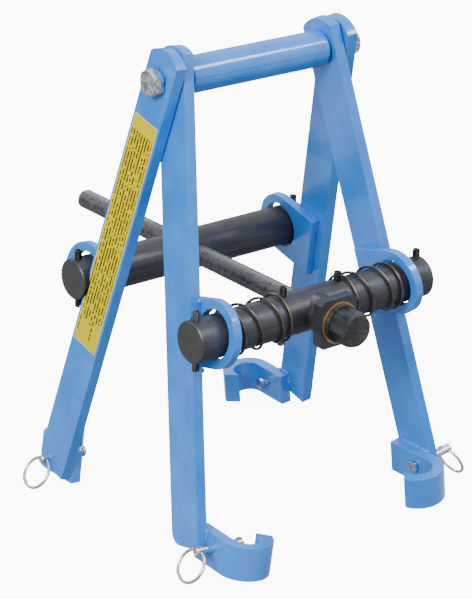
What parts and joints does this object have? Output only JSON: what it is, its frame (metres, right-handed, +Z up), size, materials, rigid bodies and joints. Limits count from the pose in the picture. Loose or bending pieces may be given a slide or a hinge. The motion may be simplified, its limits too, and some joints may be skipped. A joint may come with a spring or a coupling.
{
  "type": "coil spring compressor",
  "caption": "Hinged clamshell tool for squeezing road springs: splayed legs with coil hooks hang from a carry sleeve and are drawn together by a long forcing screw.",
  "frame": {"origin": "on the floor, under the middle of the pivot bolt", "axes": "+X along the pivot towards the lock nut, -Y towards the drive head of the forcing screw, +Z up"},
  "size_m": [0.4132, 0.4907, 0.5098],
  "materials": {
    "blue_paint": "gloss light blue enamel, slight orange peel",
    "black_steel": "black oxide over drawn steel, faint draw lines",
    "screw_steel": "black oxide, oiled, bright thread crests",
    "zinc_plate": "bright zinc plate, satin",
    "ring_wire": "bright nickel-plated spring wire",
    "bronze": "sintered bronze, oiled",
    "spring_wire": "oil-tempered dark spring wire",
    "pin_steel": "black phosphated spring steel",
    "label_film": "plain yellow vinyl film, satin"
  },
  "bodies": {
    "pivot": {"pivot_bolt": "zinc_plate", "lock_nut": "zinc_plate"},
    "crossbar": {"crossbar_sleeve": "blue_paint"},
    "leg_front_left": {"leg_front_left": "blue_paint", "lug_front_left": "blue_paint", "hook_front_left": "blue_paint"},
    "leg_front_right": {"leg_front_right": "blue_paint", "lug_front_right": "blue_paint", "hook_front_right": "blue_paint"},
    "leg_back_left": {"leg_back_left": "blue_paint", "lug_back_left": "blue_paint", "hook_back_left": "blue_paint", "blank_label": "label_film"},
    "leg_back_right": {"leg_back_right": "blue_paint", "lug_back_right": "blue_paint", "hook_back_right": "blue_paint"},
    "front_bar": {"front_cross_bar": "black_steel", "thrust_washer": "bronze", "spreader_spring_left": "spring_wire", "spreader_spring_right": "spring_wire", "spring_pin_front_outer_left": "pin_steel", "spring_pin_front_inner_left": "pin_steel", "spring_pin_front_inner_right": "pin_steel", "spring_pin_front_outer_right": "pin_steel"},
    "back_bar": {"back_cross_bar": "black_steel", "spring_pin_back_left": "pin_steel", "spring_pin_back_right": "pin_steel"},
    "screw": {"forcing_screw": "screw_steel"},
    "retaining_pin_front_left": {"retaining_pin_front_left": "zinc_plate"},
    "split_ring_front_left": {"split_ring_front_left": "ring_wire"},
    "retaining_pin_front_right": {"retaining_pin_front_right": "zinc_plate"},
    "split_ring_front_right": {"split_ring_front_right": "ring_wire"},
    "retaining_pin_back_left": {"retaining_pin_back_left": "zinc_plate"},
    "split_ring_back_left": {"split_ring_back_left": "ring_wire"},
    "retaining_pin_back_right": {"retaining_pin_back_right": "zinc_plate"},
    "split_ring_back_right": {"split_ring_back_right": "ring_wire"}
  },
  "joints": [
    {"name": "sleeve_spin", "type": "hinge", "parent": "pivot", "child": "crossbar", "pos_m": [0, 0, 0.477], "axis": [1, 0, 0], "continuous": true},
    {"name": "swing_front_left", "type": "hinge", "parent": "pivot", "child": "leg_front_left", "pos_m": [0, 0, 0.477], "axis": [1, 0, 0], "range_deg": [-12, 8]},
    {"name": "swing_front_right", "type": "hinge", "parent": "pivot", "child": "leg_front_right", "pos_m": [0, 0, 0.477], "axis": [1, 0, 0], "range_deg": [-12, 8]},
    {"name": "swing_back_left", "type": "hinge", "parent": "pivot", "child": "leg_back_left", "pos_m": [0, 0, 0.477], "axis": [1, 0, 0], "range_deg": [-8, 12]},
    {"name": "swing_back_right", "type": "hinge", "parent": "pivot", "child": "leg_back_right", "pos_m": [0, 0, 0.477], "axis": [1, 0, 0], "range_deg": [-8, 12]},
    {"name": "front_bar_turn", "type": "hinge", "parent": "leg_front_left", "child": "front_bar", "pos_m": [0, -0.102, 0.24], "axis": [1, 0, 0], "range_deg": [-8, 12]},
    {"name": "back_bar_turn", "type": "hinge", "parent": "leg_back_left", "child": "back_bar", "pos_m": [0, 0.102, 0.24], "axis": [1, 0, 0], "range_deg": [-12, 8]},
    {"name": "screw_turn", "type": "hinge", "parent": "front_bar", "child": "screw", "pos_m": [0, -0.102, 0.24], "axis": [0, 1, 0], "range_deg": [-12663.3, 8442.2]},
    {"name": "pin_slide_front_left", "type": "slide", "parent": "leg_front_left", "child": "retaining_pin_front_left", "axis": [0.9912, -0.0322, -0.1283], "range_m": [-0.0208, 0.0009]},
    {"name": "ring_swing_front_left", "type": "hinge", "parent": "retaining_pin_front_left", "child": "split_ring_front_left", "pos_m": [-0.16929, -0.14183, 0.03004], "axis": [0.032, 0.9995, -0.0041], "range_deg": [-15, 60]},
    {"name": "pin_slide_front_right", "type": "slide", "parent": "leg_front_right", "child": "retaining_pin_front_right", "axis": [-0.9912, -0.0322, -0.1283], "range_m": [-0.0008, 0.0209]},
    {"name": "ring_swing_front_right", "type": "hinge", "parent": "retaining_pin_front_right", "child": "split_ring_front_right", "pos_m": [0.18851, -0.12268, 0.03259], "axis": [0.032, -0.9995, 0.0041], "range_deg": [-15, 60]},
    {"name": "pin_slide_back_left", "type": "slide", "parent": "leg_back_left", "child": "retaining_pin_back_left", "axis": [0.993, 0.0288, -0.1148], "range_m": [-0.0208, 0.0009]},
    {"name": "ring_swing_back_left", "type": "hinge", "parent": "retaining_pin_back_left", "child": "split_ring_back_left", "pos_m": [-0.17838, 0.12254, 0.02912], "axis": [-0.0287, 0.9996, 0.0033], "range_deg": [-15, 60]},
    {"name": "pin_slide_back_right", "type": "slide", "parent": "leg_back_right", "child": "retaining_pin_back_right", "axis": [-0.993, 0.0288, -0.1148], "range_m": [-0.0078, 0.0139]},
    {"name": "ring_swing_back_right", "type": "hinge", "parent": "retaining_pin_back_right", "child": "split_ring_back_right", "pos_m": [0.19188, 0.14268, 0.03061], "axis": [-0.0287, -0.9996, -0.0033], "range_deg": [-15, 60]}
  ],
  "couplings": [
    {"joint": "swing_front_left", "follows": "screw_turn", "ratio": 0.00094762},
    {"joint": "swing_front_right", "follows": "screw_turn", "ratio": 0.00094762},
    {"joint": "swing_back_left", "follows": "screw_turn", "ratio": -0.00094762},
    {"joint": "swing_back_right", "follows": "screw_turn", "ratio": -0.00094762},
    {"joint": "front_bar_turn", "follows": "screw_turn", "ratio": -0.00094762},
    {"joint": "back_bar_turn", "follows": "screw_turn", "ratio": 0.00094762}
  ]
}
